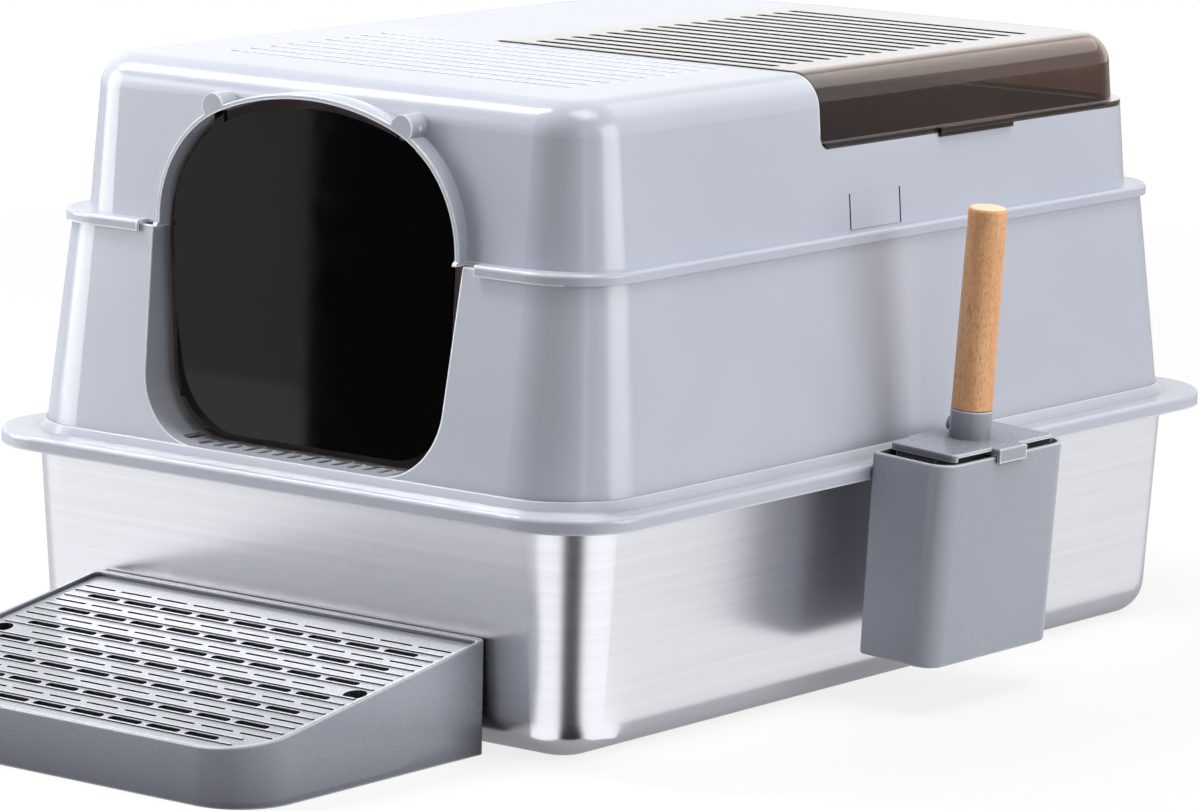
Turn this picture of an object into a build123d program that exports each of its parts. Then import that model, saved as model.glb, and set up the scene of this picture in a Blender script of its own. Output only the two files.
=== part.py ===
"""Covered litter box with a steel pan, clip-on scoop holder, flip lid, swing flap and a loose step.

Millimetres. X is right (the scoop holder side), -Y is the front with the entry, Z is up.
The origin is the middle of the pan's underside, on the floor.
"""
import os
from math import atan, atan2, cos, degrees, hypot, radians, sin, sqrt
from build123d import *

os.makedirs("parts", exist_ok=True)

# General
WALL = 2.5
FIT = 0.5
RUN_FIT = 0.06
LOOSE = 0.3
TOUCH = 0.05
OVER = 5.0
HALF = 0.5

# Steel pan
PAN_W = 434.0
PAN_L = 636.6
PAN_TOP = 150.0
PAN_DRAFT = 3.7
PAN_R = 30.0
PAN_FLOOR_R = 24.0
SHEET = 1.0
RIM_W = 13.0
RIM_BEAD = 5.0
RIM_BEAD_R = 2.2

# Splash guard
GUARD_FL_OUT = 31.7
GUARD_FL_R = 56.0
GUARD_LIP_DROP = 6.3
GUARD_LEDGE_T = 3.0
GUARD_EDGE_R = 3.0
PLINTH_SET = 16.0
PLINTH_R = 58.0
PLINTH_TAPER = 36.0
PLINTH_H = 5.5
GUARD_SET = 4.8
GUARD_R = 55.0
GUARD_LEAN_W = 12.2
GUARD_LEAN_L = 17.0
GUARD_TOP_R = 43.0
GUARD_RISE = 130.9
SKIRT_DROP = 20.0
SKIRT_T = 2.0
SKIRT_FIT = 1.0

# Entry notch in the guard
NOTCH_TOP_W = 249.0
NOTCH_FOOT_W = 234.0
NOTCH_R = 45.0
NOTCH_TOP_R = 6.0
REVEAL_DEPTH = 16.0
SILL_PAIRS = 8
SILL_PITCH = 12.0
SILL_SLOT_L = 14.0
SILL_LONG_L = 19.0
SILL_SLOT_W = 6.0
SILL_SLOT_UP = 6.0
SILL_SLOT_IN = 17.2

# Top cover
COVER_FL_OUT_W = 3.1
COVER_FL_OUT_L = 3.4
COVER_FL_R = 43.6
COVER_LIP_DROP = 4.3
COVER_LEDGE_H = 2.6
COVER_LIP_T = 2.2
COVER_EDGE_R = 2.4
COVER_FL_GAP_X = 13.5
COVER_FL_GAP_IN = 0.5
COVER_SET = 10.6
COVER_R = 43.0
COVER_DRAFT = 4.57
COVER_RISE = 99.0
COVER_TOP_R = 22.0
COVER_SKIRT_DROP = 15.4

# Collar round the entry, in the cover
ARCH_W = 243.0
ARCH_TOP_DROP = 9.5
ARCH_TOP_R = 200.0
ARCH_SIDE_R = 80.0
ARCH_T = 3.0
ARCH_EDGE_R = 0.8
ARCH_PROUD = 0.8
ARCH_DEPTH = 25.0
ARCH_FOOT_DROP = 3.4
EAR_X = 75.5
EAR_DROP = 13.5
EAR_R = 8.5
EAR_POCKET_R = 6.0
EAR_CAP_T = 1.4

# Entry flap
FLAP_IN = 8.0
FLAP_T = 2.5
FLAP_GAP = 6.5
FLAP_FOOT_GAP = 6.0
FLAP_FOOT_W = 213.0
FLAP_FOOT_R = 42.0
FLAP_LUG_W = 8.0
FLAP_LUG_R = 3.2
FLAP_PIN_R = 1.25
FLAP_PIN_GRIP = 1.6

# Roof grooves
GROOVE_PITCH = 18.2
GROOVE_W = 6.0
GROOVE_DEPTH = 0.9
ROOF_GROOVES = 9
ROOF_GROOVE_L = 277.0
ROOF_GROOVE_IN = 79.0

# Flip lid
LID_CUT_X = -58.0
LID_CUT_Y = -62.0
LID_CUT_DROP = 46.5
LID_CUT_R = 8.0
LID_GAP_X = 3.0
LID_GAP_Y = 2.5
LID_FOOT_GAP = 0.8
LID_PROUD = 0.6
LID_INSET = 4.5
LID_T = 2.2
LID_TOP_R = 20.0
LID_FLANGE_T = 3.0
LID_GROOVES = 16
LID_GROOVE_START = 22.0
LID_GROOVE_END = 51.2
LID_GROOVE_IN = 18.0
LID_GROOVE_W = 7.5
LID_GROOVE_DEPTH = 1.3
LID_TAB_Y0 = 64.0
LID_TAB_Y1 = 145.0
LID_TAB_T = 2.2
LID_TAB_DROP = 3.0
LEDGE_W = 8.0
LEDGE_T = 2.5
LEDGE_START = 18.0
LEDGE_END = 43.2
HINGE_IN = 4.5
HINGE_DROP = 5.5
HINGE_R = 3.2
HINGE_NECK_W = 5.0
HINGE_PIN_R = 1.5
ARM_T = 6.0
FRONT_ARM_W = 11.0
REAR_ARM_IN = 50.0
LUG_GAP = 1.0
ARM_POST_T = 7.0
ARM_POST_GAP = 5.0
ARM_DROP = 20.5
ARM_FOOT_T = 3.5
LUG_FIT = 0.5

# Cover latches
LATCH_Y0 = -33.2
LATCH_Y1 = 19.0
LATCH_UP = 0.5
LATCH_H = 22.5
SLIT = 1.3
SLIT_FOOT = 0.3
LATCH_LEG_T = 2.4
LATCH_LEG_IN = 1.4
LATCH_LEG_DROP = 13.4
LATCH_LEG_UP = 7.0
LATCH_TOE_T = 4.0
LATCH_TOE_GAP = 0.3
LATCH_MARGIN = 4.0
LATCH_LEG_MARGIN = 8.0

# Scoop holder
HOLD_GAP = 0.6
HOLD_D = 57.0
HOLD_YC = 2.5
HOLD_W = 136.0
HOLD_UP = 3.6
HOLD_H = 128.7
HOLD_DRAFT = 0.5
HOLD_FRONT_R = 15.0
HOLD_BACK_R = 4.0
HOLD_FOOT_R = 2.0
HOLD_LEAN = 3.6
HOLD_T = 2.4
HOLD_MOUTH_R = 1.0
HOOK_PITCH = 76.0
HOOK_W = 22.0
HOOK_T = 2.4
HOOK_REACH = 7.7
HOOK_LEG_T = 3.0
HOOK_LEG_UP = 2.9
HOOK_FIT = 0.8

# Scoop
CAP_IN = 3.7
CAP_D = 49.9
CAP_W = 108.0
CAP_GAP = 0.4
CAP_T = 5.0
CAP_R = 4.0
CAP_EDGE_R = 1.2
CAP_REST_IN = 0.7
CAP_REST_W = 60.0
CAP_SLOT_H = 2.8
CAP_SLOT_D = 10.0
CAP_SLOT_END = 3.0
TAB_W = 29.0
TAB_OUT = 3.0
TAB_T = 2.5
TAB_DROP = 3.7
BLADE_IN = 7.7
BLADE_D = 30.0
BLADE_W = 104.0
BLADE_T = 2.5
BLADE_UP = 10.0
BLADE_SLOTS = 7
BLADE_SLOT_PITCH = 12.5
BLADE_SLOT_W = 6.0
BLADE_SLOT_L = 84.0
BLADE_SLOT_UP = 68.0
SOCKET_IN = 26.2
SOCKET_R = 13.2
SOCKET_L = 18.0
SOCKET_SINK = 3.0
SOCKET_BORE_R = 9.5
SOCKET_BORE_DEPTH = 15.0
HANDLE_R0 = 13.0
HANDLE_R1 = 12.1
HANDLE_L = 128.0
HANDLE_END_R = 3.0
HANDLE_FOOT_C = 0.6
TENON_R = 9.45
TENON_L = 14.5
NUB_R = 4.6
NUB_REACH = 15.6
NUB_UP = 6.5
SCREW_HEAD_R = 3.2
SCREW_HEAD_T = 2.0
SCREW_R = 1.6
SCREW_TIP = 5.0
SCREW_SLOT_W = 0.9
SCREW_SLOT_D = 0.8

# Step
STEP_W = 314.0
STEP_GAP = 5.2
STEP_D = 217.5
STEP_BACK_Z = 70.0
STEP_FRONT_Z = 35.0
STEP_FRONT_R = 38.0
STEP_BACK_R = 6.0
STEP_T = 2.5
STEP_RECESS = 6.0
STEP_SEAT_W = 4.0
STEP_BACK_RIM = 5.5
STEP_RIM_R = 1.2
STEP_TRAY_R = 4.0
GRATE_T = 3.0
GRATE_ROWS = 7
GRATE_ROW_PITCH = 27.1
GRATE_ROW_IN = 36.5
GRATE_COLS = 9
GRATE_THIN_COLS = 10
GRATE_HOLE_ROW = 3
GRATE_COL_PITCH = 30.0
GRATE_SLOT_L = 25.5
GRATE_WIDE_W = 6.0
GRATE_THIN_W = 2.4
GRATE_RIB_W = 1.3
GRATE_RIB_H = 0.9
GRATE_RIB_OFF = 5.0
GRATE_RIB_L = 296.0
GRATE_RIB_TRIM = 16.0
GRATE_HOLE_X = 142.0
GRATE_HOLE_IN = 104.5
GRATE_HOLE_R = 7.5
GRATE_BACK_BAND = 12.0

# Sizes worked out from the ones above
guard_fl_w = PAN_W + 2 * GUARD_FL_OUT
guard_fl_l = PAN_L + 2 * GUARD_FL_OUT
guard_lip_z = PAN_TOP - GUARD_LIP_DROP
guard_ledge_z = PAN_TOP + GUARD_LEDGE_T
plinth_w = guard_fl_w - 2 * PLINTH_SET
plinth_l = guard_fl_l - 2 * PLINTH_SET
plinth_top = guard_ledge_z + PLINTH_H
guard_w = plinth_w - 2 * GUARD_SET
guard_l = plinth_l - 2 * GUARD_SET
guard_top_w = guard_w - 2 * GUARD_LEAN_W
guard_top_l = guard_l - 2 * GUARD_LEAN_L
guard_top = plinth_top + GUARD_RISE
cover_fl_w = guard_top_w + 2 * COVER_FL_OUT_W
cover_fl_l = guard_top_l + 2 * COVER_FL_OUT_L
cover_lip_z = guard_top - COVER_LIP_DROP
cover_ledge_z = guard_top + COVER_LEDGE_H
cover_w = cover_fl_w - 2 * COVER_SET
cover_l = cover_fl_l - 2 * COVER_SET
cover_top = cover_ledge_z + COVER_RISE
cover_skirt_z = guard_top - COVER_SKIRT_DROP
arch_front_y = -guard_top_l * HALF - ARCH_PROUD
arch_back_y = arch_front_y + ARCH_DEPTH
arch_foot_z = guard_top - ARCH_FOOT_DROP
arch_top_z = cover_top - ARCH_TOP_DROP
ear_z = arch_top_z - EAR_DROP
reveal_back_y = arch_front_y + REVEAL_DEPTH
sill_slot_y = -guard_l * HALF + SILL_SLOT_IN
flap_y = arch_front_y + FLAP_IN
flap_foot_z = plinth_top + FLAP_FOOT_GAP
roof_groove_y = -cover_l * HALF + ROOF_GROOVE_IN
lid_cut_z = cover_top - LID_CUT_DROP
lid_x = LID_CUT_X + LID_GAP_X
lid_y = LID_CUT_Y + LID_GAP_Y
lid_foot_z = lid_cut_z + LID_FOOT_GAP
lid_top = cover_top + LID_PROUD
lid_groove_x0 = LID_CUT_X + LID_GROOVE_START
lid_groove_x1 = cover_w * HALF - LID_GROOVE_END
lid_groove_y = LID_CUT_Y + LID_GROOVE_IN
ledge_x0 = LID_CUT_X + LEDGE_START
ledge_x1 = cover_w * HALF - LEDGE_END
hinge_x = lid_x + HINGE_IN
hinge_z = cover_top - HINGE_DROP
front_arm_y1 = LID_CUT_Y - LUG_GAP
front_arm_y0 = front_arm_y1 - ARM_T
front_lug_y1 = lid_y + LUG_FIT + ARM_T
rear_arm_y0 = cover_l * HALF - REAR_ARM_IN
rear_arm_y1 = rear_arm_y0 + ARM_T
rear_lug_y0 = rear_arm_y1 + LUG_GAP
rear_lug_y1 = rear_lug_y0 + ARM_T
arm_post_x1 = LID_CUT_X - ARM_POST_GAP
arm_post_x0 = arm_post_x1 - ARM_POST_T
arm_foot_z0 = cover_top - ARM_DROP
arm_foot_z1 = arm_foot_z0 + ARM_FOOT_T
latch_z0 = cover_ledge_z + LATCH_UP
latch_z1 = latch_z0 + LATCH_H
latch_leg_z0 = guard_top - LATCH_LEG_DROP
latch_leg_z1 = cover_ledge_z + LATCH_LEG_UP
latch_toe_z = latch_leg_z0 + LATCH_TOE_T
latch_toe_x = guard_top_w * HALF - WALL - LATCH_TOE_GAP
hold_x0 = guard_fl_w * HALF + HOLD_GAP
hold_x1 = hold_x0 + HOLD_D
hold_z1 = plinth_top + HOLD_UP
hold_z0 = hold_z1 - HOLD_H
hook_x0 = hold_x0 - HOOK_REACH
hook_x1 = hook_x0 + HOOK_LEG_T
hook_z0 = guard_lip_z + HOOK_LEG_UP
cap_x0 = hold_x0 + CAP_IN
cap_x1 = cap_x0 + CAP_D
cap_z0 = hold_z1 + CAP_GAP
cap_z1 = cap_z0 + CAP_T
cap_rest_x0 = hold_x0 + CAP_REST_IN
tab_x1 = hold_x1 + TAB_OUT
tab_z0 = hold_z1 - TAB_DROP
blade_x0 = hold_x0 + BLADE_IN
blade_x1 = blade_x0 + BLADE_D
blade_z0 = hold_z0 + BLADE_UP
blade_slot_z = hold_z0 + BLADE_SLOT_UP
socket_x = hold_x0 + SOCKET_IN
step_y0 = -PAN_L * HALF - STEP_GAP
step_y1 = step_y0 - STEP_D
grate_row_y = step_y0 - GRATE_ROW_IN
grate_hole_y = step_y0 - GRATE_HOLE_IN
cover_slope = sin(radians(COVER_DRAFT)) / cos(radians(COVER_DRAFT))
pan_slope = sin(radians(PAN_DRAFT)) / cos(radians(PAN_DRAFT))
guard_slope_w = (guard_w - guard_top_w) * HALF / GUARD_RISE
guard_slope_l = (guard_l - guard_top_l) * HALF / GUARD_RISE
guard_slope_r = (GUARD_R - GUARD_TOP_R) / GUARD_RISE
pan_top_w = PAN_W + 2 * PAN_TOP * pan_slope
pan_top_l = PAN_L + 2 * PAN_TOP * pan_slope
pan_top_r = PAN_R + PAN_TOP * pan_slope
pan_rim_w = pan_top_w + 2 * RIM_W
pan_rim_l = pan_top_l + 2 * RIM_W
pan_rim_r = pan_top_r + RIM_W
skirt_w = pan_top_w - 2 * SHEET - 2 * SKIRT_FIT - 2 * SKIRT_DROP * pan_slope
skirt_l = pan_top_l - 2 * SHEET - 2 * SKIRT_FIT - 2 * SKIRT_DROP * pan_slope
skirt_r = pan_top_r - SHEET - SKIRT_FIT
notch_front_y = -guard_l * HALF
trim_half_x = NOTCH_TOP_W * HALF + WALL + OVER
sill_cut = WALL + OVER
cover_seat_z = guard_top + LOOSE
cover_skirt_w = guard_top_w - 2 * WALL - 2 * SKIRT_FIT
cover_skirt_l = guard_top_l - 2 * WALL - 2 * SKIRT_FIT
cover_skirt_r = GUARD_TOP_R - WALL - SKIRT_FIT
reveal_clear_x = NOTCH_TOP_W * HALF + WALL + FIT
flap_pin_l = 2 * EAR_POCKET_R + 2 * FLAP_PIN_GRIP
ledge_top_z = lid_top - LID_T - LOOSE
arch_side_x = ARCH_W * HALF - ARCH_SIDE_R
arch_top_cz = arch_top_z - ARCH_TOP_R
arch_side_cz = arch_top_cz + sqrt((ARCH_TOP_R - ARCH_SIDE_R) ** 2 - arch_side_x ** 2)
arch_turn = degrees(atan2(arch_side_x, arch_side_cz - arch_top_cz))
flap_side_x = ARCH_W * HALF - ARCH_T - FLAP_GAP
latch_leg_x = (cover_w * HALF - WALL) - (latch_leg_z1 - cover_ledge_z) * cover_slope - LATCH_LEG_IN
latch_leg_y0 = LATCH_Y0 + LATCH_LEG_MARGIN
latch_leg_y1 = LATCH_Y1 - LATCH_LEG_MARGIN
latch_join_x = latch_leg_x + LATCH_LEG_IN + WALL * HALF
latch_join_z = latch_z0 + SLIT
lid_base_z = lid_cut_z - OVER
lid_w = cover_w - 2 * LID_INSET - 2 * (lid_base_z - cover_ledge_z) * cover_slope
lid_l = cover_l - 2 * LID_INSET - 2 * (lid_base_z - cover_ledge_z) * cover_slope
lid_r = COVER_R - LID_INSET
lid_rim_w = cover_w - 2 * (lid_foot_z - cover_ledge_z) * cover_slope
lid_rim_l = cover_l - 2 * (lid_foot_z - cover_ledge_z) * cover_slope
lid_rim_r = COVER_R - (lid_foot_z - cover_ledge_z) * cover_slope
lid_rim_in = LID_INSET + LID_T
lid_foot_r = LID_CUT_R - LID_FOOT_GAP
lid_tab_x1 = lid_rim_w * HALF + LID_TAB_T + LUG_FIT
lid_groove_x = (lid_groove_x0 + lid_groove_x1) * HALF
hold_xc = (hold_x0 + hold_x1) * HALF
step_run = step_y0 - step_y1
step_tilt = atan((STEP_BACK_Z - STEP_FRONT_Z) / step_run)
step_long = hypot(step_run, STEP_BACK_Z - STEP_FRONT_Z)
step_yc = (step_y0 + step_y1) * HALF
step_zc = (STEP_BACK_Z + STEP_FRONT_Z) * HALF
step_in = STEP_T + STEP_SEAT_W
recess_l = step_long - STEP_T - STEP_BACK_RIM
recess_v = (STEP_T - STEP_BACK_RIM) * HALF
slope_plane = Plane(origin=(0, step_yc, step_zc), x_dir=(1, 0, 0), z_dir=(0, -sin(step_tilt), cos(step_tilt)))
slope_axis = Axis(slope_plane.origin, slope_plane.z_dir)
grate_plane = slope_plane.offset(-STEP_RECESS + LOOSE + GRATE_T)
grate_row_v = (grate_row_y - step_yc) / cos(step_tilt)
grate_hole_v = (grate_hole_y - step_yc) / cos(step_tilt)
lean_axis = Axis((hold_x0, HOLD_YC, guard_lip_z), (0, 1, 0))
handle_plane = Plane(origin=(socket_x, HOLD_YC, cap_z1))
nub_plane = Plane(origin=(socket_x, HOLD_YC, cap_z1 + NUB_UP), x_dir=(0, 1, 0), z_dir=(-1, 0, 0))


def drafted(width, length, radius, z, rise, taper, mode=Mode.ADD):
    """A rounded rectangle at height z, pulled up with a draft angle."""
    with BuildSketch(Plane.XY.offset(z)) as face:
        RectangleRounded(width, length, radius)
    extrude(face.sketch, amount=rise, taper=taper, mode=mode)


def lofted(foot_w, foot_l, foot_r, z0, top_w, top_l, top_r, z1, mode=Mode.ADD):
    """A wall block between two rounded rectangles, with its own draft on sides and ends."""
    with BuildSketch(Plane.XY.offset(z0)) as foot_face:
        RectangleRounded(foot_w, foot_l, foot_r)
    with BuildSketch(Plane.XY.offset(z1)) as top_face:
        RectangleRounded(top_w, top_l, top_r)
    loft([foot_face.sketch, top_face.sketch], ruled=True, mode=mode)


def slab(x0, x1, y0, y1, z0, z1, mode=Mode.ADD):
    """A box between six planes."""
    with BuildSketch(Plane.XY.offset(z0)) as face:
        with Locations(((x0 + x1) * HALF, (y0 + y1) * HALF)):
            Rectangle(x1 - x0, y1 - y0)
    extrude(face.sketch, amount=z1 - z0, mode=mode)


def rod(x, z, radius, y0, y1, mode=Mode.ADD):
    """A round bar along Y."""
    with BuildSketch(Plane.XZ.offset(-y0)) as face:
        with Locations((x, z)):
            Circle(radius)
    extrude(face.sketch, amount=y0 - y1, mode=mode)


def cross_rod(y, z, radius, x0, x1, mode=Mode.ADD):
    """A round bar along X."""
    with BuildSketch(Plane.YZ.offset(x0)) as face:
        with Locations((y, z)):
            Circle(radius)
    extrude(face.sketch, amount=x1 - x0, mode=mode)


def arch(inset, foot_z, y0, y1, mode=Mode.ADD):
    """The entry arch, inset evenly, from foot_z up, between two planes across Y."""
    top_r = ARCH_TOP_R - inset
    side_r = ARCH_SIDE_R - inset
    edge_x = ARCH_W * HALF - inset
    with BuildSketch(Plane.XZ.offset(-y0)) as face:
        with BuildLine():
            CenterArc((0, arch_top_cz), top_r, 90 - arch_turn, 2 * arch_turn)
            CenterArc((arch_side_x, arch_side_cz), side_r, 0, 90 - arch_turn)
            CenterArc((-arch_side_x, arch_side_cz), side_r, 90 + arch_turn, 90 - arch_turn)
            Line((edge_x, arch_side_cz), (edge_x, foot_z))
            Line((-edge_x, arch_side_cz), (-edge_x, foot_z))
            Line((-edge_x, foot_z), (edge_x, foot_z))
        make_face()
    extrude(face.sketch, amount=y0 - y1, mode=mode)


def notch(outset, top_z, y0, y1, mode=Mode.ADD):
    """The round-footed entry notch, grown evenly, between two planes across Y."""
    top_x = NOTCH_TOP_W * HALF + outset
    foot_x = NOTCH_FOOT_W * HALF + outset
    foot_z = plinth_top - outset
    with BuildSketch(Plane.XZ.offset(-y0)) as face:
        with BuildLine():
            Polyline((-top_x, top_z), (-foot_x, foot_z), (foot_x, foot_z), (top_x, top_z), close=True)
        make_face()
        fillet(face.vertices().group_by(Axis.Y)[0], radius=NOTCH_R + outset)
    extrude(face.sketch, amount=y0 - y1, mode=mode)


# Inside of the steel pan
with BuildPart() as pan_hollow:
    drafted(
        PAN_W - 2 * SHEET + 2 * SHEET * pan_slope,
        PAN_L - 2 * SHEET + 2 * SHEET * pan_slope,
        PAN_R - SHEET,
        SHEET,
        PAN_TOP - SHEET,
        -PAN_DRAFT,
    )
    fillet(pan_hollow.edges().group_by(Axis.Z)[0], radius=PAN_FLOOR_R - SHEET)

# Steel pan: drawn sheet with a flat rim and a rolled edge
with BuildPart() as steel_pan:
    drafted(pan_rim_w, pan_rim_l, pan_rim_r, PAN_TOP - RIM_BEAD, RIM_BEAD, 0)
    fillet(steel_pan.edges().group_by(Axis.Z)[-1], radius=RIM_BEAD_R)
    fillet(steel_pan.edges().group_by(Axis.Z)[0], radius=RIM_BEAD_R)
    drafted(
        pan_rim_w - 2 * RIM_BEAD,
        pan_rim_l - 2 * RIM_BEAD,
        pan_rim_r - RIM_BEAD,
        PAN_TOP - RIM_BEAD,
        RIM_BEAD - SHEET,
        0,
        Mode.SUBTRACT,
    )
    drafted(PAN_W, PAN_L, PAN_R, 0, PAN_TOP, -PAN_DRAFT)
    fillet(steel_pan.edges().group_by(Axis.Z)[0], radius=PAN_FLOOR_R)
    add(pan_hollow.part, mode=Mode.SUBTRACT)
steel_pan.part.label = "steel_pan"
export_step(steel_pan.part, "parts/steel_pan.step")

# Splash guard: hooded flange over the pan rim, drafted wall, entry notch with a sill
with BuildPart() as splash_guard:
    drafted(guard_fl_w, guard_fl_l, GUARD_FL_R, guard_lip_z, guard_ledge_z - guard_lip_z, 0)
    fillet(splash_guard.edges().group_by(Axis.Z)[-1], radius=GUARD_EDGE_R)
    drafted(
        guard_fl_w - 2 * WALL,
        guard_fl_l - 2 * WALL,
        GUARD_FL_R - WALL,
        guard_lip_z,
        PAN_TOP - guard_lip_z,
        0,
        Mode.SUBTRACT,
    )
    drafted(plinth_w, plinth_l, PLINTH_R, guard_ledge_z, plinth_top - guard_ledge_z, PLINTH_TAPER)
    lofted(guard_w, guard_l, GUARD_R, plinth_top, guard_top_w, guard_top_l, GUARD_TOP_R, guard_top)
    drafted(skirt_w, skirt_l, skirt_r, PAN_TOP - SKIRT_DROP, SKIRT_DROP, -PAN_DRAFT)
    drafted(
        skirt_w - 2 * SKIRT_T,
        skirt_l - 2 * SKIRT_T,
        skirt_r - SKIRT_T,
        PAN_TOP - SKIRT_DROP,
        SKIRT_DROP + OVER,
        -PAN_DRAFT,
        Mode.SUBTRACT,
    )
    lofted(
        guard_w - 2 * WALL + 2 * OVER * guard_slope_w,
        guard_l - 2 * WALL + 2 * OVER * guard_slope_l,
        GUARD_R - WALL + OVER * guard_slope_r,
        plinth_top - OVER,
        guard_top_w - 2 * WALL,
        guard_top_l - 2 * WALL,
        GUARD_TOP_R - WALL,
        guard_top,
        Mode.SUBTRACT,
    )
    notch(WALL, guard_top, reveal_back_y, notch_front_y)
    with BuildSketch(Plane.YZ.offset(-trim_half_x)) as trim:
        with BuildLine():
            Polyline(
                (-guard_l * HALF, plinth_top),
                (-guard_top_l * HALF, guard_top),
                (-guard_top_l * HALF, guard_top + OVER),
                (notch_front_y - OVER, guard_top + OVER),
                (notch_front_y - OVER, plinth_top),
                close=True,
            )
        make_face()
    extrude(amount=2 * trim_half_x, mode=Mode.SUBTRACT)
    notch(0, guard_top + OVER, reveal_back_y + OVER, notch_front_y - OVER, Mode.SUBTRACT)
    for side in (-1, 1):
        with BuildSketch(Plane.XZ.offset(-reveal_back_y - OVER)) as ease:
            with Locations((side * NOTCH_TOP_W * HALF, guard_top - NOTCH_TOP_R * HALF)):
                Rectangle(2 * NOTCH_TOP_R, NOTCH_TOP_R)
            with Locations((side * (NOTCH_TOP_W * HALF + NOTCH_TOP_R), guard_top - NOTCH_TOP_R)):
                Circle(NOTCH_TOP_R, mode=Mode.SUBTRACT)
        extrude(amount=reveal_back_y + OVER - notch_front_y, mode=Mode.SUBTRACT)
    with BuildSketch(Plane.XY.offset(plinth_top + SILL_SLOT_UP)) as sill:
        with Locations((SILL_PITCH * HALF, sill_slot_y)):
            with GridLocations(2 * SILL_PITCH, 0, SILL_PAIRS, 1):
                SlotOverall(SILL_SLOT_L, SILL_SLOT_W, rotation=90)
        with Locations((-SILL_PITCH * HALF, sill_slot_y + (SILL_LONG_L - SILL_SLOT_L) * HALF)):
            with GridLocations(2 * SILL_PITCH, 0, SILL_PAIRS, 1):
                SlotOverall(SILL_LONG_L, SILL_SLOT_W, rotation=90)
    extrude(amount=-sill_cut - SILL_SLOT_UP, mode=Mode.SUBTRACT)
    with BuildSketch(Plane.XY.offset(PAN_TOP)) as hooks:
        with Locations(((hook_x0 + hook_x1) * HALF, HOLD_YC)):
            with GridLocations(0, HOOK_PITCH, 1, 2):
                Rectangle(hook_x1 - hook_x0 + 2 * HOOK_FIT, HOOK_W + 2 * HOOK_FIT)
    extrude(amount=guard_ledge_z - PAN_TOP, mode=Mode.SUBTRACT)
splash_guard.part.label = "splash_guard"
export_step(splash_guard.part, "parts/splash_guard.step")

# Inside of the top cover
with BuildPart() as cover_hollow:
    drafted(
        cover_w - 2 * WALL + 2 * OVER * cover_slope,
        cover_l - 2 * WALL + 2 * OVER * cover_slope,
        COVER_R - WALL + OVER * cover_slope,
        cover_ledge_z - OVER,
        COVER_RISE + OVER - WALL,
        COVER_DRAFT,
    )
    fillet(cover_hollow.edges().group_by(Axis.Z)[-1], radius=COVER_TOP_R - WALL)

# Collar round the entry, solid, with an eased front edge
with BuildPart() as collar:
    arch(0, arch_foot_z, arch_back_y, arch_front_y)
    fillet(collar.faces().sort_by(Axis.Y)[0].edges().sort_by(Axis.Z)[1:], radius=ARCH_EDGE_R)

# Cut-out for the lid, with rounded foot corners
with BuildPart() as lid_opening:
    slab(LID_CUT_X, cover_w, LID_CUT_Y, cover_l, lid_cut_z, cover_top + OVER)
    cut_foot = lid_opening.faces().sort_by(Axis.Z)[0].edges()
    fillet([cut_foot.sort_by(Axis.Y)[0], cut_foot.sort_by(Axis.X)[0]], radius=LID_CUT_R)

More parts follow.
